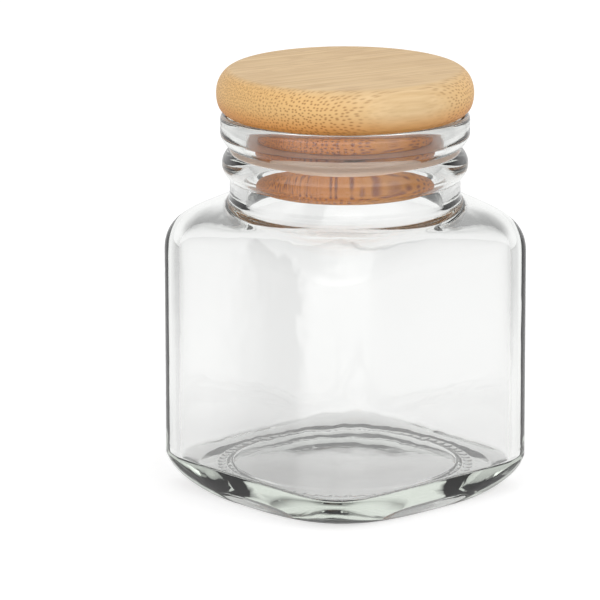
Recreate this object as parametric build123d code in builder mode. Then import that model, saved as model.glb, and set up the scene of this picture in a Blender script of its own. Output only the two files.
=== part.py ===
from build123d import *
import math
import os

os.makedirs("parts", exist_ok=True)

# A square glass spice jar with soft corners, a round neck and a turned bamboo stopper
# that carries a silicone seal ring. Millimetres, +Z up. The origin is the middle of the
# base, on the surface that the jar stands on.

# Whole jar, stopper included
jar_height = 75.0
body_width = 50.0

# Glass body, outside
body_corner_radius = 8.8
base_inset = 2.6
base_corner_radius = 16.0
heel_height = 6.0
shoulder_rise = 9.0

# Glass body, inside
wall = 2.2
floor_thickness = 3.2
floor_inset = 1.6
floor_corner_radius = 7.2
inner_heel_height = 1.6
shoulder_wall = 2.4

# Push-up of the floor, seen from below and from inside
bearing_width = 1.8
bearing_corner_radius = 12.2
push_up_flank = 1.3
push_up_corner_radius = 11.2
push_up_depth = 2.3
push_up_floor_thickness = 3.1

# Neck and its two beads
neck_radius = 20.15
neck_height = 15.7
neck_wall = 2.85
neck_root_chamfer = 0.7
bore_root_chamfer = 1.0
bead_rise = 1.35
bead_half_height = 2.47
bead_drop = 9.1
rim_rise = 1.64
rim_flat_height = 3.2
rim_foot_height = 1.9
rim_edge_chamfer = 0.75
rim_inner_chamfer = 0.8

# Bamboo stopper
seat_gap = 0.15
head_height = 7.55
head_widest_rise = 3.3
head_overhang = 2.3
head_foot_overhang = 1.05
head_edge_width = 3.25
head_edge_bulge = 1.0
plug_clearance = 2.0
plug_length = 13.3
plug_foot_chamfer = 0.5
groove_depth = 1.2
groove_height = 4.5
groove_drop = 4.35

# Silicone seal ring
ring_seat_gap = 0.05
ring_end_gap = 0.08
ring_bore_clearance = 0.1
ring_ridge = 0.35

# Shapes of the bends, as shares of the distance that each bend covers
heel_start_share = 0.35
heel_end_shares = (1, 0.65)
shoulder_start_share = 0.8
shoulder_end_shares = (0.914, 0.755)
rim_foot_bulge_share = 0.6

# Flat bands that each bend is built from
outer_band_count = 6
inner_heel_band_count = 3
inner_shoulder_band_count = 5
bead_band_count = 4
head_edge_band_count = 5


def square_points(half_side, corner_radius):
    """Middle of a flat, end of that flat and middle of the corner, in the first octant."""
    straight = half_side - corner_radius
    corner = straight + corner_radius * math.cos(math.radians(45))
    return [(half_side, 0), (half_side, straight), (corner, corner)]


def circle_points(radius, flat_end):
    """The same three places on a circle, seen from the centre in the same directions."""
    turn = math.atan2(flat_end[1], flat_end[0])
    corner = radius * math.cos(math.radians(45))
    return [(radius, 0), (radius * math.cos(turn), radius * math.sin(turn)), (corner, corner)]


def between(first, last, share):
    """Each point of the outline moves along a straight line from the first to the last."""
    return [(a[0] + (b[0] - a[0]) * share, a[1] + (b[1] - a[1]) * share) for a, b in zip(first, last)]


def outline(points, height):
    """A closed outline of four sides and four corners at one height. A side without a bow is a line."""
    middle, end, corner = points
    with BuildSketch(Plane.XY.offset(height)) as section:
        with BuildLine():
            for side in range(4):
                start, bow, stop, round_middle, round_stop = [
                    Vector(x, y).rotate(Axis.Z, 90 * side)
                    for x, y in ((end[0], -end[1]), middle, end, corner, (end[1], end[0]))
                ]
                if middle[0] > end[0]:
                    ThreePointArc(start, bow, stop)
                else:
                    Line(start, stop)
                ThreePointArc(stop, round_middle, round_stop)
        make_face()
    return section.sketch


def bend_places(start_share, end_shares, bands):
    """Places along a unit curve that leaves along the first axis and arrives from its last handle."""
    curve = Bezier((0, 0), (start_share, 0), end_shares, (1, 1), mode=Mode.PRIVATE)
    return [curve @ (band / bands) for band in range(bands + 1)]


def flats(curve, bands):
    """Narrow straight steps along a curve, each with both its ends on the curve."""
    return Polyline(*[curve @ (band / bands) for band in range(bands + 1)])


def heel_sections(low, high, start_height, end_height, bands):
    """Outlines up a heel: they grow fast at first and end upright."""
    rise = end_height - start_height
    places = bend_places(heel_start_share, heel_end_shares, bands)
    return [outline(between(low, high, place.X), start_height + rise * place.Y) for place in places]


def shoulder_sections(low, high, start_height, end_height, bands):
    """Outlines up a shoulder: they start upright, turn fast and end on a gentle slope."""
    rise = end_height - start_height
    places = bend_places(shoulder_start_share, shoulder_end_shares, bands)
    return [outline(between(low, high, place.Y), start_height + rise * place.X) for place in places]


# Heights of the glass, from the whole height down
seat_height = jar_height - head_height
rim_height = seat_height - seat_gap
rim_flat_top = rim_height - rim_edge_chamfer
rim_flat_foot = rim_flat_top - rim_flat_height
rim_foot_start = rim_flat_foot - rim_foot_height
bead_centre_height = rim_height - bead_drop
shoulder_end_height = rim_height - neck_height
shoulder_start_height = shoulder_end_height - shoulder_rise
inner_heel_top = floor_thickness + inner_heel_height
raised_floor_height = push_up_depth + push_up_floor_thickness
inner_shoulder_top = shoulder_end_height - shoulder_wall

# Widths of the glass
half_width = body_width / 2
inner_half_width = half_width - wall
bore_radius = neck_radius - neck_wall
rim_radius = neck_radius + rim_rise

# Outlines of the glass at the levels where the forms meet
body_outline = square_points(half_width, body_corner_radius)
base_outline = square_points(half_width - base_inset, base_corner_radius)
shoulder_outline = circle_points(neck_radius + neck_root_chamfer, body_outline[1])
room_outline = square_points(inner_half_width, body_corner_radius - wall)
floor_outline = square_points(inner_half_width - floor_inset, floor_corner_radius)
bearing_half_width = half_width - base_inset - bearing_width
bearing_outline = square_points(bearing_half_width, bearing_corner_radius)
push_up_outline = square_points(bearing_half_width - push_up_flank, push_up_corner_radius)
throat_outline = circle_points(bore_radius + bore_root_chamfer, room_outline[1])

# The inside of the jar: a square room with soft edges under a round throat
with BuildPart() as cavity:
    inner_heel = heel_sections(
        floor_outline, room_outline, floor_thickness, inner_heel_top, inner_heel_band_count
    )
    loft(inner_heel, ruled=True)
    extrude(outline(room_outline, inner_heel_top), amount=shoulder_start_height - inner_heel_top)
    inner_shoulder = shoulder_sections(
        room_outline,
        throat_outline,
        shoulder_start_height,
        inner_shoulder_top,
        inner_shoulder_band_count,
    )
    loft(inner_shoulder, ruled=True)
    with BuildSketch(Plane.XZ):
        with BuildLine():
            Polyline(
                (0, inner_heel_top),
                (bore_radius + bore_root_chamfer, inner_heel_top),
                (bore_radius + bore_root_chamfer, inner_shoulder_top),
                (bore_radius, inner_shoulder_top + bore_root_chamfer),
                (bore_radius, rim_height - rim_inner_chamfer),
                (bore_radius + rim_inner_chamfer, rim_height),
                (0, rim_height),
                close=True,
            )
        make_face()
    revolve(axis=Axis.Z)

# The glass jar: heel, body, shoulder and neck outside, the cavity inside, and a floor that is
# pushed up from below, so that it is as thick in the middle as at the walls
with BuildPart() as jar:
    loft(heel_sections(base_outline, body_outline, 0, heel_height, outer_band_count), ruled=True)
    extrude(outline(body_outline, heel_height), amount=shoulder_start_height - heel_height)
    outer_shoulder = shoulder_sections(
        body_outline, shoulder_outline, shoulder_start_height, shoulder_end_height, outer_band_count
    )
    loft(outer_shoulder, ruled=True)
    with BuildSketch(Plane.XZ):
        with BuildLine():
            root = Polyline(
                (0, shoulder_end_height),
                (neck_radius + neck_root_chamfer, shoulder_end_height),
                (neck_radius, shoulder_end_height + neck_root_chamfer),
                (neck_radius, bead_centre_height - bead_half_height),
            )
            bead_arc = ThreePointArc(
                root @ 1,
                (neck_radius + bead_rise, bead_centre_height),
                (neck_radius, bead_centre_height + bead_half_height),
                mode=Mode.PRIVATE,
            )
            bead = flats(bead_arc, bead_band_count)
            Polyline(
                bead @ 1,
                (neck_radius, rim_foot_start),
                (
                    neck_radius + rim_rise * rim_foot_bulge_share,
                    rim_flat_foot - rim_foot_height * rim_foot_bulge_share,
                ),
                (rim_radius, rim_flat_foot),
                (rim_radius, rim_flat_top),
                (rim_radius - rim_edge_chamfer, rim_height),
                (0, rim_height),
                root @ 0,
            )
        make_face()
    revolve(axis=Axis.Z)
    add(cavity.part, mode=Mode.SUBTRACT)
    raised_floor = [outline(floor_outline, floor_thickness), outline(push_up_outline, raised_floor_height)]
    loft(raised_floor, ruled=True)
    push_up = [outline(bearing_outline, 0), outline(push_up_outline, push_up_depth)]
    loft(push_up, ruled=True, mode=Mode.SUBTRACT)
jar.part.label = "glass_jar"
export_step(jar.part, "parts/glass_jar.step")

# The stopper: one turned piece of laminated bamboo, a wide head over a plug with a groove
head_radius = neck_radius + head_overhang
head_foot_radius = neck_radius + head_foot_overhang
head_flat_radius = head_radius - head_edge_width
plug_radius = bore_radius - plug_clearance
plug_foot_height = seat_height - plug_length
groove_top = seat_height - groove_drop
groove_foot = groove_top - groove_height
groove_radius = plug_radius - groove_depth

with BuildPart() as stopper:
    with BuildSketch(Plane.XZ):
        with BuildLine():
            foot = Line((0, plug_foot_height), (plug_radius - plug_foot_chamfer, plug_foot_height))
            chamfered = Line(foot @ 1, (plug_radius, plug_foot_height + plug_foot_chamfer))
            groove = Polyline(
                chamfered @ 1,
                (plug_radius, groove_foot),
                (groove_radius, groove_foot),
                (groove_radius, groove_top),
                (plug_radius, groove_top),
                (plug_radius, seat_height),
                (head_foot_radius, seat_height),
            )
            side = Line(groove @ 1, (head_radius, seat_height + head_widest_rise))
            edge_end = (head_flat_radius, jar_height)
            edge_arc = SagittaArc(side @ 1, edge_end, -head_edge_bulge, mode=Mode.PRIVATE)
            edge = flats(edge_arc, head_edge_band_count)
            face = Line(edge @ 1, (0, jar_height))
            Line(face @ 1, foot @ 0)
        make_face()
    revolve(axis=Axis.Z)
stopper.part.label = "bamboo_stopper"
export_step(stopper.part, "parts/bamboo_stopper.step")

# The seal ring: a soft band in the plug's groove, fullest at mid height where it meets the bore
ring_inner_radius = groove_radius + ring_seat_gap
ring_outer_radius = bore_radius - ring_bore_clearance
ring_foot = groove_foot + ring_end_gap
ring_top = groove_top - ring_end_gap

with BuildPart() as seal_ring:
    with BuildSketch(Plane.XZ):
        with BuildLine():
            Polyline(
                (ring_inner_radius, ring_foot),
                (ring_outer_radius - ring_ridge, ring_foot),
                (ring_outer_radius, (ring_foot + ring_top) / 2),
                (ring_outer_radius - ring_ridge, ring_top),
                (ring_inner_radius, ring_top),
                close=True,
            )
        make_face()
    revolve(axis=Axis.Z)
seal_ring.part.label = "seal_ring"
export_step(seal_ring.part, "parts/seal_ring.step")
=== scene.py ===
# %% [markdown]
# # A square spice jar with a bamboo stopper
# The jar has three pieces: a moulded glass body, a stopper turned from laminated bamboo, and a
# milky silicone ring that seals the two. Glass shows almost nothing of itself. What the eye reads
# is how each edge bends the light behind it, so the shape has to be smooth and the walls have to
# have their real thickness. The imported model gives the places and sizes. The pieces made here
# stand for it, with finer curves than a light model can carry.

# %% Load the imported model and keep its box
import bpy
import math
import numpy as np
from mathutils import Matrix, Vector, noise


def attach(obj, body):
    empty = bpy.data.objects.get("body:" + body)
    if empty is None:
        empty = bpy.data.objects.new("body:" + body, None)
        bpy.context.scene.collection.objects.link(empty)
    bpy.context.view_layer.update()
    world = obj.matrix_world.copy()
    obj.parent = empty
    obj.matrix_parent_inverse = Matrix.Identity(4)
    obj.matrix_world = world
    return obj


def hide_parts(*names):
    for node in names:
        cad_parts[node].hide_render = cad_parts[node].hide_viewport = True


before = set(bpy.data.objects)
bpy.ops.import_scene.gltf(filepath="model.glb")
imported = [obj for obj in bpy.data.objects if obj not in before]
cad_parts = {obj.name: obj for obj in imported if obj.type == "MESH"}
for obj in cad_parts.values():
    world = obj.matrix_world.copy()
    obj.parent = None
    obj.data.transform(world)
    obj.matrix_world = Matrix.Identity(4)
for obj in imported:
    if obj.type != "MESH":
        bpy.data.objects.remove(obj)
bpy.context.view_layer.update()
MM = 0.001

# %% [markdown]
# ## Outlines that are neither square nor round
# Pressed glass has no sharp change of curvature, because the hot glass flows. A cube with bevelled
# edges, or a square with arcs at its corners, has one at each end of each arc, and a reflection
# breaks there. A superellipse doesn't: one number, its power, takes it from a circle (2) to a
# square with soft corners (about 6), and it stays smooth all the way. Each outline is kept as a
# radius for each of a fixed set of directions, so that any two of them can be blended point by
# point. All sizes of outlines are in mm.

# %% Directions round the jar, and the outlines
around = 512
angle = np.arange(around) * 2 * math.pi / around
direction = np.stack([np.cos(angle), np.sin(angle)], axis=1)


def superellipse(half_side, power):
    """Radius in each direction of a square of this half side with soft corners."""
    spread = np.abs(direction) ** power
    return half_side / spread.sum(axis=1) ** (1 / power)


def soft_square(half_side, half_diagonal):
    """The superellipse that reaches this far across its flats and this far at its corners."""
    return superellipse(half_side, 1 / (0.5 - math.log2(half_diagonal / half_side)))


def circle(radius):
    return np.full(around, float(radius))


def blend(first, last, share):
    return first * (1 - share) + last * share


body_outline = superellipse(24.99, 6.35)
base_outline = superellipse(22.4, 2.95)
print("across flats", 2 * body_outline[0], "mm, across corners", round(2 * body_outline.max(), 1), "mm")

# %% [markdown]
# ## A skin over a stack of outlines
# A jar is a stack of closed outlines, from the middle of its underside, out, up the wall, over
# the rim and down the inside to the middle of the floor. By hand, one would bridge edge loops.
# One function does the same for the whole stack: it joins each outline to the next with
# four-sided faces. The skin has to close, because light is bent at one surface and bent back at
# the other, and glass with a hole in it is neither.


# %% A mesh from a stack of outlines
def level(outline, height):
    """One outline at one height, or at a height for each direction, as points in metres."""
    heights = np.broadcast_to(height, (around,))
    return np.column_stack([direction * outline[:, None], heights]) * MM


def skin(name, levels, closed_ends=True):
    """A mesh over a stack of outlines. Its ends close to a point, or the last meets the first."""
    stack = np.array(levels)
    count = len(stack)
    points = stack.reshape(-1, 3)
    here = np.arange(around)
    after = (here + 1) % around
    faces = []
    for step in range(count - 1 if closed_ends else count):
        low, high = step * around, ((step + 1) % count) * around
        faces.append(np.stack([low + here, low + after, high + after, high + here], axis=1))
    faces = np.concatenate(faces).tolist()
    if closed_ends:
        first, last, top = len(points), len(points) + 1, (count - 1) * around
        points = np.vstack([points, stack[0].mean(axis=0), stack[-1].mean(axis=0)])
        faces += [(first, int(b), int(a)) for a, b in zip(here, after)]
        faces += [(last, int(top + a), int(top + b)) for a, b in zip(here, after)]
    mesh = bpy.data.meshes.new(name)
    mesh.from_pydata(points.tolist(), [], faces)
    mesh.update()
    mesh.polygons.foreach_set("use_smooth", [True] * len(mesh.polygons))
    piece = bpy.data.objects.new(name, mesh)
    bpy.context.scene.collection.objects.link(piece)
    print(name, "has", len(mesh.vertices), "points and", len(mesh.polygons), "faces")
    return piece


print("each outline has", around, "points")

# %% [markdown]
# ## The outside of the glass
# The heel turns the flat base into the upright wall in 6 mm of height. The base is rounder than
# the body, so most of the growth on the way up is at the corners. The shoulder goes from the
# square wall to the round neck: it starts upright, turns fast at its edge and then runs up to the
# neck on a gentle slope. A subdivided cube could be pushed into this shape, but its sizes would
# only be near. Here both bends are blends of two outlines along a curve, so every size is exact.


# %% Heel, wall and shoulder
def heel(low, high, start, rise, power=1.5, steps=24):
    """Outlines up a heel: outwards at first, then upright. A low power makes it slack."""
    made = []
    for turn in np.linspace(0, math.pi / 2, steps):
        out, up = math.sin(turn) ** (2 / power), 1 - math.cos(turn) ** (2 / power)
        made.append(level(blend(low, high, out), start + rise * up))
    return made


def shoulder(low, high, start, rise, pull_up=0.8, end_pull=(0.755, 0.914), steps=32):
    """Outlines up a shoulder, along a curve that its two handles pull up and then inwards."""
    made = []
    for t in np.linspace(0, 1, steps):
        early, late, last = 3 * t * (1 - t) ** 2, 3 * t**2 * (1 - t), t**3
        up, inward = pull_up * early + end_pull[1] * late + last, end_pull[0] * late + last
        made.append(level(blend(low, high, inward), start + rise * up))
    return made


def wall(outline, low, high, steps=14):
    """Outlines up a plain wall, without its two ends."""
    return [level(outline, z) for z in np.linspace(low, high, steps)[1:-1]]


heel_height, shoulder_start, shoulder_end = 6.0, 42.6, 51.6
neck_radius, root_rounding = 20.17, 0.9
neck_root = neck_radius + root_rounding
outside = heel(base_outline, body_outline, 0, heel_height)
outside += wall(body_outline, heel_height, shoulder_start)
outside += shoulder(body_outline, circle(neck_root), shoulder_start, shoulder_end - shoulder_start)
print("outside has", len(outside), "outlines up to the neck")

# %% [markdown]
# ## The neck, drawn as a turner draws it
# From the shoulder up, the glass is round, so a single line drawn in section says it all: a
# cylinder with a bead below its rim, and a thick rim. A Screw modifier could turn the line, but
# then the neck would be a mesh of its own and would have to be joined to the body. Here the line
# becomes more outlines of the same stack. Each corner of the line is given the rounding that the
# glass took there. Long straight runs get a few extra points near their ends, because smooth
# shading spreads the turn of a corner over the whole next face.


# %% A line in section with rounded corners
def supported(line, near=0.12, longest=3.0):
    """The same line, with extra points near the ends of each long straight run."""
    made = [line[0]]
    for a, b in zip(line, line[1:]):
        length = np.linalg.norm(b - a)
        if length > 4 * near:
            inner = np.linspace(near, length - near, max(2, math.ceil(length / longest)))
            made += [a + (b - a) * t / length for t in inner]
        if length > 1e-6:
            made.append(b)
    return made


def rounded(corners, steps=9):
    """Points of a line in section. Each corner is (radius, height, rounding), all in mm."""
    spots = [np.array(c[:2], float) for c in corners]
    line = [spots[0]]
    for before, here, after, corner in zip(spots, spots[1:], spots[2:], corners[1:]):
        arriving = (here - before) / np.linalg.norm(here - before)
        leaving = (after - here) / np.linalg.norm(after - here)
        turn = math.acos(np.clip(arriving @ leaving, -1, 1))
        reach = corner[2] * math.tan(turn / 2)
        if reach < 1e-6:
            line.append(here)
            continue
        start, inward = here - arriving * reach, leaving - arriving * (arriving @ leaving)
        inward /= np.linalg.norm(inward)
        for t in np.linspace(0, turn, steps):
            line.append(start + corner[2] * (arriving * math.sin(t) + inward * (1 - math.cos(t))))
    return supported(line + [spots[-1]])


def turned(line):
    """The line turned round the axis, as a stack of circles."""
    return [level(circle(radius), height) for radius, height in line]


def arc(first, last, sagitta, steps=13):
    """Points of a shallow arc from the first to the last, bulging to the right of the way there."""
    first, last = np.array(first), np.array(last)
    half = np.linalg.norm(last - first) / 2
    radius = (half**2 + sagitta**2) / (2 * sagitta)
    along = (last - first) / (2 * half)
    across = np.array([along[1], -along[0]])
    middle = (first + last) / 2 - across * (radius - sagitta)
    reach = math.asin(half / radius)
    return [
        (*(middle + radius * (along * math.sin(t) + across * math.cos(t))), 0)
        for t in np.linspace(-reach, reach, steps)
    ]


print("a rounded square corner has", len(rounded([(0, 0, 0), (1, 0, 0.5), (1, 1, 0)])), "points")

# %% The neck's line
bead_middle, bead_half, bead_rise = 58.22, 2.46, 1.33
bore_radius, bore_foot, rim_radius, rim_height = 17.3, 53.2, 21.79, 67.3
rim_outer_rounding, rim_inner_rounding, root_rise = 1.3, 0.8, 0.35
bead_low, bead_high = (neck_radius, bead_middle - bead_half), (neck_radius, bead_middle + bead_half)
rim_foot, rim_face, rim_foot_bulge = (neck_radius, 61.42), (rim_radius, 63.6), 0.29
neck = rounded([
    (neck_root, shoulder_end, 0),
    (neck_radius, shoulder_end + root_rise, root_rounding),
    *arc(bead_low, bead_high, bead_rise, steps=25),
    *arc(rim_foot, rim_face, rim_foot_bulge),
    (rim_radius, rim_height, rim_outer_rounding),
    (bore_radius, rim_height, rim_inner_rounding),
    (bore_radius, bore_foot, 0),
])
print("neck line has", len(neck), "points")

# %% [markdown]
# ## The inside of the glass
# A Solidify modifier would give the wall one thickness everywhere, and pressed glass doesn't have
# that, so the inside is drawn as its own stack. The wall is a little over 2 mm thick and a little
# thicker at the corners, where the glass pools. The floor is thick, as the glass that starts the
# jar cools there first, and it meets the wall in a tight corner. Inside, the glass met air and not
# the mould, so the wall is slightly wavy. The waves are too shallow to see as shape, but they make
# the soft grey drifts that tell glass from plastic. The floor stays level: seen from above, a
# level floor lets the eye through to the underside, while one that slopes to the eye would
# reflect all light like a mirror.

# %% Throat, inner shoulder and inner wall
room_outline, floor_outline = superellipse(22.8, 6.35), soft_square(22.4, 28.4)
floor_height, inner_heel_rise, inner_shoulder_start, inner_shoulder_end = 5.4, 0.5, 42.6, 49.1
throat_radius, throat_rounding, throat_rise = 19.7, 2.2, 0.5
throat = rounded([
    (bore_radius, bore_foot - 0.1, 0),
    (bore_radius, inner_shoulder_end + throat_rise, throat_rounding),
    (throat_radius, inner_shoulder_end, 0),
])
inner_shoulder_rise = inner_shoulder_end - inner_shoulder_start
inside = shoulder(room_outline, circle(throat_radius), inner_shoulder_start, inner_shoulder_rise)[::-1][1:]
inside += wall(room_outline, floor_height + inner_heel_rise, inner_shoulder_start)[::-1]
inside += heel(floor_outline, room_outline, floor_height, inner_heel_rise, power=2.0)[::-1]


def wavy(points, depth=0.07, length=9.0):
    """Points of the inner wall, moved in or out by a slow noise. Depth and length are in mm."""
    moved = points.copy()
    for spot in moved:
        wave = noise.noise(Vector(spot) / (length * MM))
        spot[:2] *= 1 + wave * depth * MM / math.hypot(spot[0], spot[1])
    return moved


inside = [wavy(points) for points in inside]
print("inside has", len(throat) + len(inside), "outlines down to the floor")

# %% The floor, with a very low ripple
floor_middle, ripple_height, ripple_rate = circle(20.0), 0.025, 16
floor = []
for share in np.linspace(0.97, 0.02, 34):
    ripple = ripple_height * math.sin(ripple_rate * share) * (1 - share)
    floor.append(level(blend(floor_middle, floor_outline, share) * share, floor_height + ripple))
print("floor is", floor_height, "mm up, under", len(floor), "outlines")

# %% [markdown]
# ## The underside
# A band that is almost round runs under the jar. The mould is cut with a row of small round
# dimples there, so the glass has a row of dots that keeps a hot jar off the cold belt. They could
# be 64 small spheres joined by a boolean, but the same skin can hold them, as heights along the
# band. The dots are evenly spaced, so the band's length is measured first. Inside the band the
# base is pushed up by more than two millimetres on a steep flank, which is what draws the edge of
# the grey disc that is seen in the floor.

# %% The middle line of the bearing band, measured
dot_count, dot_radius, dot_height = 64, 0.75, 0.3
band_outer, band_inner = soft_square(21.2, 21.9), soft_square(19.4, 20.1)
band_middle = blend(band_outer, band_inner, 0.5)
track = direction * band_middle[:, None]
steps_along = np.linalg.norm(np.roll(track, -1, axis=0) - track, axis=1)
along = np.concatenate([[0], np.cumsum(steps_along)[:-1]])
spacing = steps_along.sum() / dot_count
beside = (along / spacing + 0.5) % 1 * spacing - spacing / 2
print("band is", round(steps_along.sum(), 1), "mm long, dots every", round(spacing, 2), "mm")

# %% Land, bearing band with dots, flank and push-up
land_height, flank_width, push_up_height, push_up_crown = 0.3, 1.3, 2.3, 0.6
land = [level(blend(base_outline, band_outer, share), land_height * share) for share in (0.1, 0.5, 0.9)]
band = []
for share in np.linspace(0, 1, 24):
    outline = blend(band_outer, band_inner, share)
    across = outline - band_middle
    dome = np.clip(1 - (across**2 + beside**2) / dot_radius**2, 0, 1) ** 0.5
    band.append(level(outline, land_height - dot_height * dome))
flank = []
for t in np.linspace(0, 1, 15)[1:]:
    rise = t * t * (3 - 2 * t)
    flank.append(level(band_inner - flank_width * t, land_height + (push_up_height - land_height) * rise))
push_up = [
    level((band_inner - flank_width) * share, push_up_height + push_up_crown * (1 - share**2))
    for share in np.linspace(0.97, 0.02, 24)
]
underside = (land + band + flank + push_up)[::-1]
print("underside has", len(underside), "outlines")

# %% [markdown]
# ## Closing the glass
# The stacks go into one skin, in the order that a finger would follow: underside, outside, neck
# and rim, throat, inside and floor. One closed skin needs no boolean, and its faces all turn the
# same way, which refraction depends on.

# %% The glass jar
jar = skin("jar_glass", underside + outside + turned(neck[1:-1]) + turned(throat[:-1]) + inside + floor)

# %% [markdown]
# ## The stopper
# It is turned in one piece from a block of glued bamboo strips, so it is made as a turner makes
# it, from one line in section. The head overhangs the plug and is widest at mid height. Its upper
# edge is a soft quarter round, and its lower edge draws in to the rim. A groove in the plug holds
# the seal. The line starts and ends a little off the axis, and the skin closes what is left.

# %% The bamboo stopper
seat_height, plug_radius, plug_foot = 67.45, 15.3, 54.15
groove_low, groove_high, groove_radius = 58.6, 63.1, 14.1
head_radius, widest_height, jar_height = 22.44, 70.75, 74.99
face_radius, head_foot_radius, head_foot_rise, near_axis = 19.2, 21.2, 0.3, 0.4
plug_rounding, groove_rounding, groove_corner, seat_corner, head_foot_rounding = 0.5, 0.15, 0.1, 0.2, 0.35
lower_side = [
    (
        head_foot_radius + (head_radius - head_foot_radius) * math.sin(t),
        widest_height - (widest_height - seat_height - head_foot_rise) * math.cos(t),
        0,
    )
    for t in np.linspace(0, math.pi / 2, 12)[1:]
]
upper_side = [
    (
        face_radius + (head_radius - face_radius) * math.cos(t),
        widest_height + (jar_height - widest_height) * math.sin(t),
        0,
    )
    for t in np.linspace(0, math.pi / 2, 22)[1:]
]
stopper_line = rounded([
    (near_axis, plug_foot, 0),
    (plug_radius, plug_foot, plug_rounding),
    (plug_radius, groove_low, groove_rounding),
    (groove_radius, groove_low, groove_corner),
    (groove_radius, groove_high, groove_corner),
    (plug_radius, groove_high, groove_rounding),
    (plug_radius, seat_height, seat_corner),
    (head_foot_radius, seat_height, head_foot_rounding),
    *lower_side,
    *upper_side,
    (near_axis, jar_height, 0),
])
stopper = skin("stopper_bamboo", turned(stopper_line))

# %% [markdown]
# ## The seal
# The ring sits in the groove and is squeezed by the neck, so its middle lies flat against the
# bore. A torus would touch the bore along one line only, so a flat band in section is turned
# instead. Where silicone touches glass there is no air between them, and the ring is seen as wide
# as the whole neck. For that it reaches a hair into the glass.

# %% The silicone seal ring
reach_into_glass = 0.015
seal_low, seal_high, seal_radius = 58.66, 63.02, bore_radius + reach_into_glass
seal_inner_radius, seal_middle = 14.2, 60.4
seal_inner_rounding, seal_outer_rounding = 0.2, 0.12
seal_line = rounded([
    (seal_inner_radius, seal_middle, 0),
    (seal_inner_radius, seal_low, seal_inner_rounding),
    (seal_radius, seal_low, seal_outer_rounding),
    (seal_radius, seal_high, seal_outer_rounding),
    (seal_inner_radius, seal_high, seal_inner_rounding),
    (seal_inner_radius, seal_middle + 0.01, 0),
])
seal = skin("seal_silicone", turned(seal_line), closed_ends=False)

# %% [markdown]
# ## Colours and nodes
# Colours are written as they look on a screen, in sRGB hex, and one function turns them into the
# linear values that the shader works with. Another adds a node, sets it and links it, so that a
# material reads as a short list. Everything could be clicked together in the Shader Editor as
# well. Written out, it can be read from top to bottom.


# %% Two helpers for colours and nodes, and one for a new material
def colour(hex_code):
    """Linear RGBA from an sRGB hex colour."""
    parts = [int(hex_code[i : i + 2], 16) / 255 for i in (1, 3, 5)]
    return [p / 12.92 if p <= 0.04045 else ((p + 0.055) / 1.055) ** 2.4 for p in parts] + [1.0]


def add(tree, kind, inputs=(), **settings):
    """Adds a node. Each input is a value, or another node's socket that is linked to it."""
    made = tree.nodes.new(kind)
    for name, value in settings.items():
        setattr(made, name, value)
    for name, value in dict(inputs).items():
        if isinstance(value, bpy.types.NodeSocket):
            tree.links.new(value, made.inputs[name])
        else:
            made.inputs[name].default_value = value
    return made


def new_material(name):
    made = bpy.data.materials.new(name)
    made.use_nodes = True
    made.node_tree.nodes.clear()
    return made, made.node_tree


print("mid grey #808080 is", round(colour("#808080")[0], 3), "in linear light")

# %% [markdown]
# ## Glass
# Soda-lime glass, pressed and fire-polished: IOR 1.52, no roughness. A thin-walled shader would be
# quicker, but it doesn't bend light, and bent light is all that a jar shows. So the skin above is
# closed and the light is really refracted. Iron in the sand gives the glass a green cast that
# shows only where the light runs a long way inside it, at the heel and the edges. That is
# absorption in a volume, not a coloured surface, so the surface stays white. Its density counts
# per metre: 2 mm of wall takes about 1 percent of the light, and 50 mm about a quarter. A very
# shallow noise in the normal, with waves of 4.5 mm, stands for the skin that the mould leaves. It
# keeps the reflections from looking like those of a perfect lens.

# %% Pressed soda-lime glass: clear, with crisp bright edges and a green tinge at the heel
mould_wave, mould_relief = 4.5455 * MM, 0.6 * MM
glass, tree = new_material("soda_lime_glass_fire_polished")
place = add(tree, "ShaderNodeTexCoord")
mould_skin = add(
    tree, "ShaderNodeTexNoise", {"Vector": place.outputs["Object"], "Scale": 1 / mould_wave, "Detail": 1.0}
)
mould_bump = add(
    tree, "ShaderNodeBump", {"Height": mould_skin.outputs["Fac"], "Strength": 0.06, "Distance": mould_relief}
)
glass_shader = add(
    tree,
    "ShaderNodeBsdfPrincipled",
    {
        "Base Color": colour("#ffffff"),
        "Roughness": 0.0,
        "IOR": 1.52,
        "Transmission Weight": 1.0,
        "Normal": mould_bump.outputs["Normal"],
    },
)
iron_tinge = add(tree, "ShaderNodeVolumeAbsorption", {"Color": colour("#c9d6c4"), "Density": 14.0})
add(
    tree,
    "ShaderNodeOutputMaterial",
    {"Surface": glass_shader.outputs["BSDF"], "Volume": iron_tinge.outputs["Volume"]},
)
jar.data.materials.append(glass)
print(glass.name, "has", len(tree.nodes), "nodes")

# %% [markdown]
# ## Bamboo: one pattern in space
# Bamboo is a bundle of hard brown fibres in pale soft tissue, all parallel. Cut across, they are
# dots; cut along, they are fine lines. A picture of bamboo wrapped round the stopper would have a
# seam and would show the same grain everywhere. A pattern in space gives both cuts by itself, as
# the lathe does. So the coordinates are turned to lie along the fibres, and counted in mm. A slow
# noise bends them a little across the fibres, because no strip of bamboo is quite straight.

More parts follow.
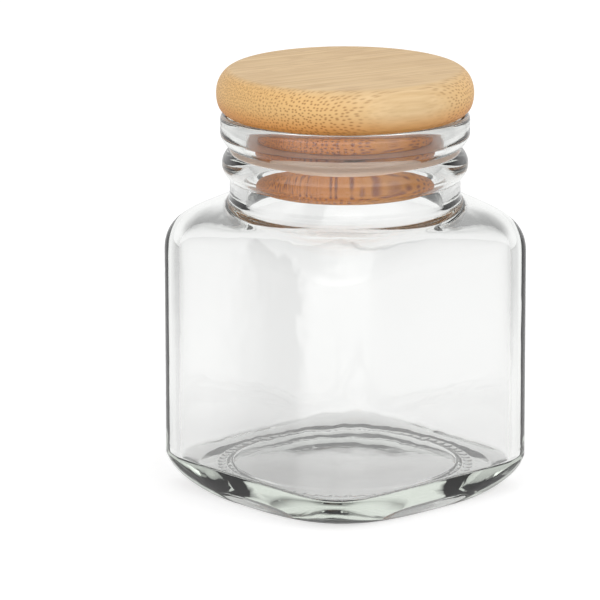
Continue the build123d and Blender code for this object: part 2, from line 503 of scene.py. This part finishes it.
# %% Coordinates along and across the fibres
fibre_angle = math.radians(12.5)
bend_length, bend_reach = 8.333, 0.9
bamboo, tree = new_material("laminated_bamboo_sanded")
place = add(tree, "ShaderNodeTexCoord")
in_mm = add(
    tree,
    "ShaderNodeMapping",
    {"Vector": place.outputs["Object"], "Rotation": (0, 0, fibre_angle), "Scale": (1000, 1000, 1000)},
)
bend_noise = add(
    tree, "ShaderNodeTexNoise", {"Vector": in_mm.outputs["Vector"], "Scale": 1 / bend_length, "Detail": 1.0}
)
bend = add(
    tree,
    "ShaderNodeVectorMath",
    {0: bend_noise.outputs["Color"], 1: (0.0, bend_reach, bend_reach)},
    operation="MULTIPLY",
)
grain = add(
    tree,
    "ShaderNodeVectorMath",
    {0: in_mm.outputs["Vector"], 1: bend.outputs["Vector"]},
    operation="ADD",
)
straight = add(tree, "ShaderNodeSeparateXYZ", {"Vector": in_mm.outputs["Vector"]})
bent = add(tree, "ShaderNodeSeparateXYZ", {"Vector": grain.outputs["Vector"]})
across_fibres = add(tree, "ShaderNodeCombineXYZ", {"X": bent.outputs["Y"], "Y": bent.outputs["Z"]})
print("fibres run", round(math.degrees(fibre_angle), 1), "degrees off the flat of the jar")

# %% [markdown]
# ## Bamboo: the fibres
# The fibres are cells laid out in the plane across them, and the same all along them, so that a
# cut across gives round dots. Cells in all three directions would be cut at any depth, and most
# dots would be lost. The fibres stand closer together on one side of the block, the side that was
# nearer the skin of the stem, and wider apart on the other. Real ones can stand as close as
# 0.2 mm. That is about one pixel of the picture, so the finest are drawn 0.4 mm apart here. The
# last glued strip on the coarse side shows almost none.

# %% Dots of fibre, fine to coarse across the block
fine_spacing, coarse_spacing = 0.4, 0.56
dot_core, fine_dot_edge, coarse_dot_edge = 0.1, 0.42, 0.37
fine_cells = add(
    tree,
    "ShaderNodeTexVoronoi",
    {"Vector": across_fibres.outputs["Vector"], "Scale": 1 / fine_spacing, "Randomness": 0.75},
    voronoi_dimensions="2D",
)
coarse_cells = add(
    tree,
    "ShaderNodeTexVoronoi",
    {"Vector": across_fibres.outputs["Vector"], "Scale": 1 / coarse_spacing, "Randomness": 0.7},
    voronoi_dimensions="2D",
)
fine_dots = add(
    tree,
    "ShaderNodeMapRange",
    {
        "Value": fine_cells.outputs["Distance"],
        "From Min": dot_core,
        "From Max": fine_dot_edge,
        "To Min": 1.0,
        "To Max": 0.0,
    },
)
coarse_dots = add(
    tree,
    "ShaderNodeMapRange",
    {
        "Value": coarse_cells.outputs["Distance"],
        "From Min": dot_core,
        "From Max": coarse_dot_edge,
        "To Min": 1.0,
        "To Max": 0.0,
    },
)
fine_side, coarse_side = 6.0, -14.0
coarseness = add(
    tree,
    "ShaderNodeMapRange",
    {"Value": straight.outputs["Y"], "From Min": fine_side, "From Max": coarse_side},
)
fibres = add(
    tree,
    "ShaderNodeMix",
    {
        "Factor": coarseness.outputs["Result"],
        "A": fine_dots.outputs["Result"],
        "B": coarse_dots.outputs["Result"],
    },
)
print("fibres stand", fine_spacing, "to", coarse_spacing, "mm apart")

# %% [markdown]
# ## Bamboo: end grain and flat grain
# Where the surface cuts the fibres across, it shows their dots at full strength on a warm ground,
# because sanded end grain soaks up more of the finish. Where it runs along them, it shows pale
# and deeper streaks. How far the surface faces along the fibres decides between the two, and the
# normal of the mesh, in the object's own coordinates, says that from any camera.

# %% Ground colour, from flat grain to end grain
streak_width, streak_stretch = 1.111, 0.035
first_end_grain, full_end_grain = 0.1, 0.75
streak_place = add(
    tree,
    "ShaderNodeVectorMath",
    {0: grain.outputs["Vector"], 1: (streak_stretch, 1.0, 1.0)},
    operation="MULTIPLY",
)
streaks = add(
    tree,
    "ShaderNodeTexNoise",
    {"Vector": streak_place.outputs["Vector"], "Scale": 1 / streak_width, "Detail": 3.0, "Roughness": 0.6},
)
along_fibres = (math.cos(-fibre_angle), math.sin(-fibre_angle), 0)
facing = add(
    tree, "ShaderNodeVectorMath", {0: place.outputs["Normal"], 1: along_fibres}, operation="DOT_PRODUCT"
)
end_grain = add(tree, "ShaderNodeMath", {0: facing.outputs["Value"]}, operation="ABSOLUTE")
end_share = add(
    tree,
    "ShaderNodeMapRange",
    {"Value": end_grain.outputs["Value"], "From Min": first_end_grain, "From Max": full_end_grain},
    interpolation_type="SMOOTHSTEP",
)
flat_colour = add(
    tree,
    "ShaderNodeMix",
    {"Factor": streaks.outputs["Fac"], 6: colour("#c8a472"), 7: colour("#ecd0a4")},
    data_type="RGBA",
)
ground = add(
    tree,
    "ShaderNodeMix",
    {"Factor": end_share.outputs["Result"], 6: flat_colour.outputs[2], 7: colour("#e3b87a")},
    data_type="RGBA",
)
print("streaks are about", round(streak_width / streak_stretch), "mm long")

# %% Fibres over the ground
flat_strength, end_strength = 0.34, 0.72
strip_start, strip_full, strip_share = -20.4, -21.0, 0.25
fibre_strength = add(
    tree,
    "ShaderNodeMapRange",
    {"Value": end_share.outputs["Result"], "To Min": flat_strength, "To Max": end_strength},
)
last_strip = add(
    tree,
    "ShaderNodeMapRange",
    {
        "Value": straight.outputs["Y"],
        "From Min": strip_start,
        "From Max": strip_full,
        "To Min": 1.0,
        "To Max": strip_share,
    },
)
strip_strength = add(
    tree,
    "ShaderNodeMath",
    {0: fibre_strength.outputs["Result"], 1: last_strip.outputs["Result"]},
    operation="MULTIPLY",
)
fibre_share = add(
    tree,
    "ShaderNodeMath",
    {0: fibres.outputs[0], 1: strip_strength.outputs["Value"]},
    operation="MULTIPLY",
)
with_fibres = add(
    tree,
    "ShaderNodeMix",
    {"Factor": fibre_share.outputs["Value"], 6: ground.outputs[2], 7: colour("#8a521d")},
    data_type="RGBA",
)
print("fibres show at", flat_strength, "on flat grain and", end_strength, "on end grain")

# %% [markdown]
# ## Bamboo: painted shade towards the foot
# The lower edge of the head is warmer and a little darker than the rest: painted shade with a warm
# cast, where the head turns away from the light and towards the plug. The plug is deeper still, as
# painted shade inside the neck with the warm light that bounces between bamboo and glass. On a
# closed jar it is seen through glass that mirrors the white room, and that lays a pale veil over
# it, so its tint is stronger than it would have to be in the open. Both tints multiply the colour,
# which keeps the grain. Mixing in a flat colour would cover it.

# %% Painted shade: tints of the lower edge and the plug
low_edge_shade_tint, low_edge_shade_share = colour("#efb444"), 0.75
low_edge_shade_start, low_edge_shade_full = 71.6, 67.4
plug_shade_start, plug_shade_full = 67.5, 67.3
# Painted shade with a warm cast, strongest at the lower edge of the head, where it turns from the light.
low_edge_shade = add(
    tree,
    "ShaderNodeMapRange",
    {
        "Value": straight.outputs["Z"],
        "From Min": low_edge_shade_start,
        "From Max": low_edge_shade_full,
        "To Max": low_edge_shade_share,
    },
    interpolation_type="SMOOTHSTEP",
)
head_colour = add(
    tree,
    "ShaderNodeMix",
    {"Factor": low_edge_shade.outputs["Result"], 6: with_fibres.outputs[2], 7: low_edge_shade_tint},
    data_type="RGBA",
    blend_type="MULTIPLY",
)
# Painted shade inside the neck, with warm bounce light, multiplied over the plug's grain.
plug_shade_part = add(
    tree,
    "ShaderNodeMapRange",
    {"Value": straight.outputs["Z"], "From Min": plug_shade_start, "From Max": plug_shade_full},
)
plug_shade_tint = add(
    tree,
    "ShaderNodeMix",
    {"Factor": fibres.outputs[0], 6: colour("#f8e27c"), 7: colour("#cc9e4c")},
    data_type="RGBA",
)
bamboo_colour = add(
    tree,
    "ShaderNodeMix",
    {"Factor": plug_shade_part.outputs["Result"], 6: head_colour.outputs[2], 7: plug_shade_tint.outputs[2]},
    data_type="RGBA",
    blend_type="MULTIPLY",
)
print("the lower edge deepens below", low_edge_shade_start, "mm")

# %% Turned laminated bamboo, sanded: a satin, warm surface with a faint tooth on the fibres
fibre_relief = 0.06 * MM
fibre_bump = add(
    tree, "ShaderNodeBump", {"Height": fibres.outputs[0], "Strength": 0.25, "Distance": fibre_relief}
)
bamboo_shader = add(
    tree,
    "ShaderNodeBsdfPrincipled",
    {
        "Base Color": bamboo_colour.outputs[2],
        "Roughness": 0.5,
        "IOR": 1.45,
        "Normal": fibre_bump.outputs["Normal"],
    },
)
add(tree, "ShaderNodeOutputMaterial", {"Surface": bamboo_shader.outputs["BSDF"]})
stopper.data.materials.append(bamboo)
print(bamboo.name, "has", len(tree.nodes), "nodes")

# %% [markdown]
# ## Silicone
# Moulded silicone without pigment is milky: light goes in, scatters and comes out soft.
# Subsurface scattering could show this, but in a ring that is squeezed between wood and glass a
# pale surface that lets a little light through looks much the same and renders sooner. The warm,
# pinkish cast that the bamboo behind throws into the ring is painted light, mixed into the colour
# here. A faint cloud in the milk, 3.3 mm wide, keeps the band from being one flat colour.

# %% Milky silicone, moulded: a soft, even, waxy band with hardly any highlight
cloud_size = 3.3333 * MM
silicone, tree = new_material("milky_silicone_moulded")
place = add(tree, "ShaderNodeTexCoord")
cloud = add(
    tree, "ShaderNodeTexNoise", {"Vector": place.outputs["Object"], "Scale": 1 / cloud_size, "Detail": 2.0}
)
# Painted light: the warm cast from the bamboo behind is mixed into these milky colours.
milk_with_painted_glow = add(
    tree,
    "ShaderNodeMix",
    {"Factor": cloud.outputs["Fac"], 6: colour("#f6d3ba"), 7: colour("#fbe2d0")},
    data_type="RGBA",
)
silicone_shader = add(
    tree,
    "ShaderNodeBsdfPrincipled",
    {
        "Base Color": milk_with_painted_glow.outputs[2],
        "Roughness": 0.4,
        "IOR": 1.41,
        "Transmission Weight": 0.15,
    },
)
add(tree, "ShaderNodeOutputMaterial", {"Surface": silicone_shader.outputs["BSDF"]})
seal.data.materials.append(silicone)
print(silicone.name, "has", len(tree.nodes), "nodes")

# %% [markdown]
# ## The pieces go where the imported model says
# Each piece rides on the body that carries it, so that it moves when the stopper is lifted, and
# stands for the imported piece of the same name, which is hidden. Parenting by hand would do the
# same.

# %% Ride and replace
for piece, body, node, finish in (
    (jar, "jar", "glass_jar", "glass"),
    (stopper, "stopper", "bamboo_stopper", "bamboo"),
    (seal, "stopper", "seal_ring", "silicone"),
):
    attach(piece, body)
    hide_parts(node)
    print(piece.name, "rides on", body)

# %% [markdown]
# ## The floor
# A clear jar is photographed against white, and its edges are drawn by what is not white. The
# floor is pale grey paper with a glow of its own, so that the camera sees it as white and the
# shadow of the jar still shows. A Light Path node tells which kind of ray asks, so the glow can be
# another one for rays that come through glass or off a gloss. Behind the jar it is nearly white
# and falls off to the sides, which gives the glass grey edges. In front of the jar it is bright
# for rays through glass, as they light the plug and the seal behind the neck, and dim for
# reflections, which would lie over them as a veil. A lamp in front could light them too, but it
# would also light the head of the stopper. Close to the jar the glow doesn't change, or a bright
# disc would be seen under it. Directions are compared by their dot product: 1 is straight behind
# the jar as the camera sees it, 0 is square to that, and -1 is straight in front.

# %% Which way and how far a spot of the floor lies from the jar
camera_turn, camera_pitch = math.radians(-42.54), math.radians(13.69)
calm_radius, full_radius = 80 * MM, 200 * MM
forward = (-math.sin(camera_turn), math.cos(camera_turn), 0)
rightward = (math.cos(camera_turn), math.sin(camera_turn), 0)
bpy.ops.mesh.primitive_plane_add(size=6.0, location=(0, 0, -0.02 * MM))
ground_plane = bpy.context.object
ground_plane.name = "stage_floor"
floor_material, tree = new_material("white_paper_sweep")
rays = add(tree, "ShaderNodeLightPath")
spot = add(tree, "ShaderNodeTexCoord")
spot_direction = add(tree, "ShaderNodeVectorMath", {0: spot.outputs["Object"]}, operation="NORMALIZE")
spot_distance = add(tree, "ShaderNodeVectorMath", {0: spot.outputs["Object"]}, operation="LENGTH")
spot_ahead = add(
    tree, "ShaderNodeVectorMath", {0: spot_direction.outputs["Vector"], 1: forward}, operation="DOT_PRODUCT"
)
away = add(
    tree,
    "ShaderNodeMapRange",
    {"Value": spot_distance.outputs["Value"], "From Min": calm_radius, "From Max": full_radius},
    interpolation_type="SMOOTHSTEP",
)
print("the floor lies", round(-ground_plane.location.z / MM, 3), "mm under the jar")

# %% Darker to the sides, and another light in front
side_loss, front_loss_in_gloss, front_gain_through_glass = 0.62, -0.8, 4.0
still_behind, well_aside = 0.97, 0.7
front_start, front_full = -0.2, -0.7
aside = add(
    tree,
    "ShaderNodeMapRange",
    {
        "Value": spot_ahead.outputs["Value"],
        "From Min": still_behind,
        "From Max": well_aside,
        "To Max": side_loss,
    },
    interpolation_type="SMOOTHSTEP",
)
loss_aside = add(
    tree, "ShaderNodeMath", {0: aside.outputs["Result"], 1: away.outputs["Result"]}, operation="MULTIPLY"
)
in_front = add(
    tree,
    "ShaderNodeMapRange",
    {"Value": spot_ahead.outputs["Value"], "From Min": front_start, "From Max": front_full},
    interpolation_type="SMOOTHSTEP",
)
front_gain = add(
    tree,
    "ShaderNodeMapRange",
    {
        "Value": rays.outputs["Is Transmission Ray"],
        "To Min": front_loss_in_gloss,
        "To Max": front_gain_through_glass,
    },
)
front_change = add(
    tree,
    "ShaderNodeMath",
    {0: in_front.outputs["Result"], 1: front_gain.outputs["Result"]},
    operation="MULTIPLY",
)
front_share = add(
    tree,
    "ShaderNodeMath",
    {0: front_change.outputs["Value"], 1: away.outputs["Result"], 2: 1.0},
    operation="MULTIPLY_ADD",
)
lit_share = add(
    tree,
    "ShaderNodeMath",
    {0: front_share.outputs["Value"], 1: loss_aside.outputs["Value"]},
    operation="SUBTRACT",
)
print("in front of the jar, rays through glass see", 1 + front_gain_through_glass, "times the glow")

# %% [markdown]
# ## A soft grey band behind the glass
# A studio is never even. A window bar or the edge of a screen leaves a soft grey band in the
# light behind the jar, and it is by such bands that the eye sees that the body is glass at all.
# A grey card behind the jar would do it too, if it were hidden from the camera. Here the glow of
# the floor is dimmed along a strip left of the middle, for rays through glass and off a gloss
# only. The strip starts softly at its left, its right side is firmer, and a trace of it runs on.

# %% The grey band, by its place to the left or right of the jar
grey_loss, grey_rest = 0.42, 0.15
sideways = add(
    tree, "ShaderNodeVectorMath", {0: spot.outputs["Object"], 1: rightward}, operation="DOT_PRODUCT"
)
grey_start = add(
    tree,
    "ShaderNodeMapRange",
    {"Value": sideways.outputs["Value"], "From Min": -28 * MM, "From Max": -12 * MM, "To Max": grey_loss},
    interpolation_type="SMOOTHSTEP",
)
grey_side = add(
    tree,
    "ShaderNodeMapRange",
    {
        "Value": sideways.outputs["Value"],
        "From Min": -9.5 * MM,
        "From Max": -5.5 * MM,
        "To Min": 1.0,
        "To Max": grey_rest,
    },
    interpolation_type="SMOOTHSTEP",
)
grey_end = add(
    tree,
    "ShaderNodeMapRange",
    {"Value": sideways.outputs["Value"], "From Max": 20 * MM, "To Min": 1.0, "To Max": 0.0},
    interpolation_type="SMOOTHSTEP",
)
grey_sides = add(
    tree,
    "ShaderNodeMath",
    {0: grey_start.outputs["Result"], 1: grey_side.outputs["Result"]},
    operation="MULTIPLY",
)
grey_band = add(
    tree,
    "ShaderNodeMath",
    {0: grey_sides.outputs["Value"], 1: grey_end.outputs["Result"]},
    operation="MULTIPLY",
)
banded_share = add(
    tree,
    "ShaderNodeMath",
    {0: lit_share.outputs["Value"], 1: grey_band.outputs["Value"]},
    operation="SUBTRACT",
)
print("the band takes up to", grey_loss, "of the glow")

# %% White paper sweep: matt, even and shadowed, and white to the camera
camera_glow, glass_glow = 0.56, 0.39
through_or_gloss = add(
    tree,
    "ShaderNodeMath",
    {0: rays.outputs["Is Transmission Ray"], 1: rays.outputs["Is Glossy Ray"]},
    operation="MAXIMUM",
)
glow_to_camera = add(
    tree, "ShaderNodeMath", {0: rays.outputs["Is Camera Ray"], 1: camera_glow}, operation="MULTIPLY"
)
glow_to_glass = add(
    tree, "ShaderNodeMath", {0: banded_share.outputs["Value"], 1: glass_glow}, operation="MULTIPLY"
)
glow_strength = add(
    tree,
    "ShaderNodeMath",
    {
        0: through_or_gloss.outputs["Value"],
        1: glow_to_glass.outputs["Value"],
        2: glow_to_camera.outputs["Value"],
    },
    operation="MULTIPLY_ADD",
)
paper = add(tree, "ShaderNodeBsdfDiffuse", {"Color": colour("#c8c8c8")})
glow = add(
    tree, "ShaderNodeEmission", {"Color": colour("#ffffff"), "Strength": glow_strength.outputs["Value"]}
)
both = add(tree, "ShaderNodeAddShader", {0: paper.outputs["BSDF"], 1: glow.outputs["Emission"]})
add(tree, "ShaderNodeOutputMaterial", {"Surface": both.outputs["Shader"]})
ground_plane.data.materials.append(floor_material)
print(floor_material.name, "has", len(tree.nodes), "nodes")

# %% [markdown]
# ## The world
# The world is the room round the jar. An environment picture could stand for it, but a jar needs
# only a few broad parts: white straight ahead, a little darker to the sides, brighter behind the
# camera, where the light comes from, and darker overhead, so that the rim and the shoulder get
# their grey. Only rays through glass and off a gloss see these parts. The camera sees white, and
# matt surfaces get one plain level, so that bamboo keeps its written colour.

# %% Room light by direction
side_level, behind_gain, overhead_level, plain_level = 0.7, 1.2, 0.4, 0.8
white_start, white_full = 0.3, 0.85
overhead_start, overhead_full = 0.2, 0.5
world = bpy.data.worlds.new("studio")
bpy.context.scene.world = world
world.use_nodes = True
tree = world.node_tree
tree.nodes.clear()
sight = add(tree, "ShaderNodeTexCoord")
ahead = add(
    tree, "ShaderNodeVectorMath", {0: sight.outputs["Generated"], 1: forward}, operation="DOT_PRODUCT"
)
side = add(
    tree,
    "ShaderNodeMapRange",
    {"Value": ahead.outputs["Value"], "From Min": white_start, "From Max": white_full, "To Min": side_level},
    interpolation_type="SMOOTHSTEP",
)
behind = add(
    tree,
    "ShaderNodeMapRange",
    {
        "Value": ahead.outputs["Value"],
        "From Min": front_start,
        "From Max": front_full,
        "To Max": behind_gain,
    },
    interpolation_type="SMOOTHSTEP",
)
round_about = add(
    tree, "ShaderNodeMath", {0: side.outputs["Result"], 1: behind.outputs["Result"]}, operation="ADD"
)
height = add(tree, "ShaderNodeSeparateXYZ", {"Vector": sight.outputs["Generated"]})
overhead = add(
    tree,
    "ShaderNodeMapRange",
    {
        "Value": height.outputs["Z"],
        "From Min": overhead_start,
        "From Max": overhead_full,
        "To Min": 1.0,
        "To Max": overhead_level,
    },
    interpolation_type="SMOOTHSTEP",
)
room_light = add(
    tree,
    "ShaderNodeMath",
    {0: round_about.outputs["Value"], 1: overhead.outputs["Result"]},
    operation="MULTIPLY",
)
print("room levels: sides", side_level, "overhead", overhead_level, "plain", plain_level)

# %% One level for matt surfaces, the room for glass and gloss
rays = add(tree, "ShaderNodeLightPath")
through_or_gloss = add(
    tree,
    "ShaderNodeMath",
    {0: rays.outputs["Is Transmission Ray"], 1: rays.outputs["Is Glossy Ray"]},
    operation="MAXIMUM",
)
plain = add(
    tree, "ShaderNodeMapRange", {"Value": rays.outputs["Is Camera Ray"], "To Min": plain_level}
)
strength = add(
    tree,
    "ShaderNodeMix",
    {
        "Factor": through_or_gloss.outputs["Value"],
        "A": plain.outputs["Result"],
        "B": room_light.outputs["Value"],
    },
)
sky = add(tree, "ShaderNodeBackground", {"Color": colour("#ffffff"), "Strength": strength.outputs[0]})
add(tree, "ShaderNodeOutputWorld", {"Surface": sky.outputs["Background"]})
print(world.name, "has", len(tree.nodes), "nodes")

# %% [markdown]
# ## The lamps
# Two large soft lamps shape the bamboo: a key from the right and above, and a weaker fill from
# the left. Point lamps would give hard shadows. Both are hidden from glass and gloss, because a
# square lamp mirrored in a clear body looks like a white stain, and the room above already gives
# the glass what it needs.


# %% Key and fill
def lamp(name, place_m, size, power):
    """A soft square lamp that faces the jar. Size in metres, power in watts."""
    data = bpy.data.lights.new(name, "AREA")
    data.size, data.energy = size, power
    made = bpy.data.objects.new(name, data)
    made.location = place_m
    made.rotation_mode = "QUATERNION"
    made.rotation_quaternion = (lamp_target - Vector(place_m)).to_track_quat("-Z", "Y")
    made.visible_glossy = made.visible_transmission = False
    bpy.context.scene.collection.objects.link(made)
    return made


back = Vector((
    math.sin(camera_turn) * math.cos(camera_pitch),
    -math.cos(camera_turn) * math.cos(camera_pitch),
    math.sin(camera_pitch),
))
right = Vector(rightward)
lamp_target = Vector((0, 0, 0.04))
lamp_size, key_power, fill_power = 0.6, 3.5, 2.4
key_place = back * 0.5 + right * 0.7 + Vector((0, 0, 0.5))
fill_place = back * 0.6 - right * 0.6 + Vector((0, 0, 0.3))
key = lamp("key", key_place, lamp_size, key_power)
fill = lamp("fill", fill_place, lamp_size, fill_power)
for lit in (key, fill):
    print(lit.name, "stands", round((lit.location - lamp_target).length, 2), "m away")

# %% [markdown]
# ## The camera
# A small object is photographed with a long lens, so that its sides stay nearly parallel. The
# lens, the turn and the tilt were found by fitting the outline of the jar, whose size is known.
# The jar doesn't stand in the middle of the picture. Turning the camera to it would change the
# angle, so the lens is shifted instead.

# %% Camera
picture_width, picture_middle = 600, (345.10, 277.68)
lens_in_pixels, sensor_width = 5134.28, 36.0
camera_distance, look_at = 0.9, Vector((0, 0, 0.0375))
camera_data = bpy.data.cameras.new("camera")
camera_data.sensor_width = sensor_width
camera_data.lens = lens_in_pixels / picture_width * sensor_width
camera_data.shift_x = (picture_width / 2 - picture_middle[0]) / picture_width
camera_data.shift_y = (picture_middle[1] - picture_width / 2) / picture_width
camera = bpy.data.objects.new("camera", camera_data)
camera.location = look_at + back * camera_distance
camera.rotation_mode = "QUATERNION"
camera.rotation_quaternion = (-back).to_track_quat("-Z", "Y")
bpy.context.scene.collection.objects.link(camera)
bpy.context.scene.camera = camera
bpy.context.scene.view_settings.view_transform = "Standard"
print("lens", round(camera_data.lens, 1), "mm")
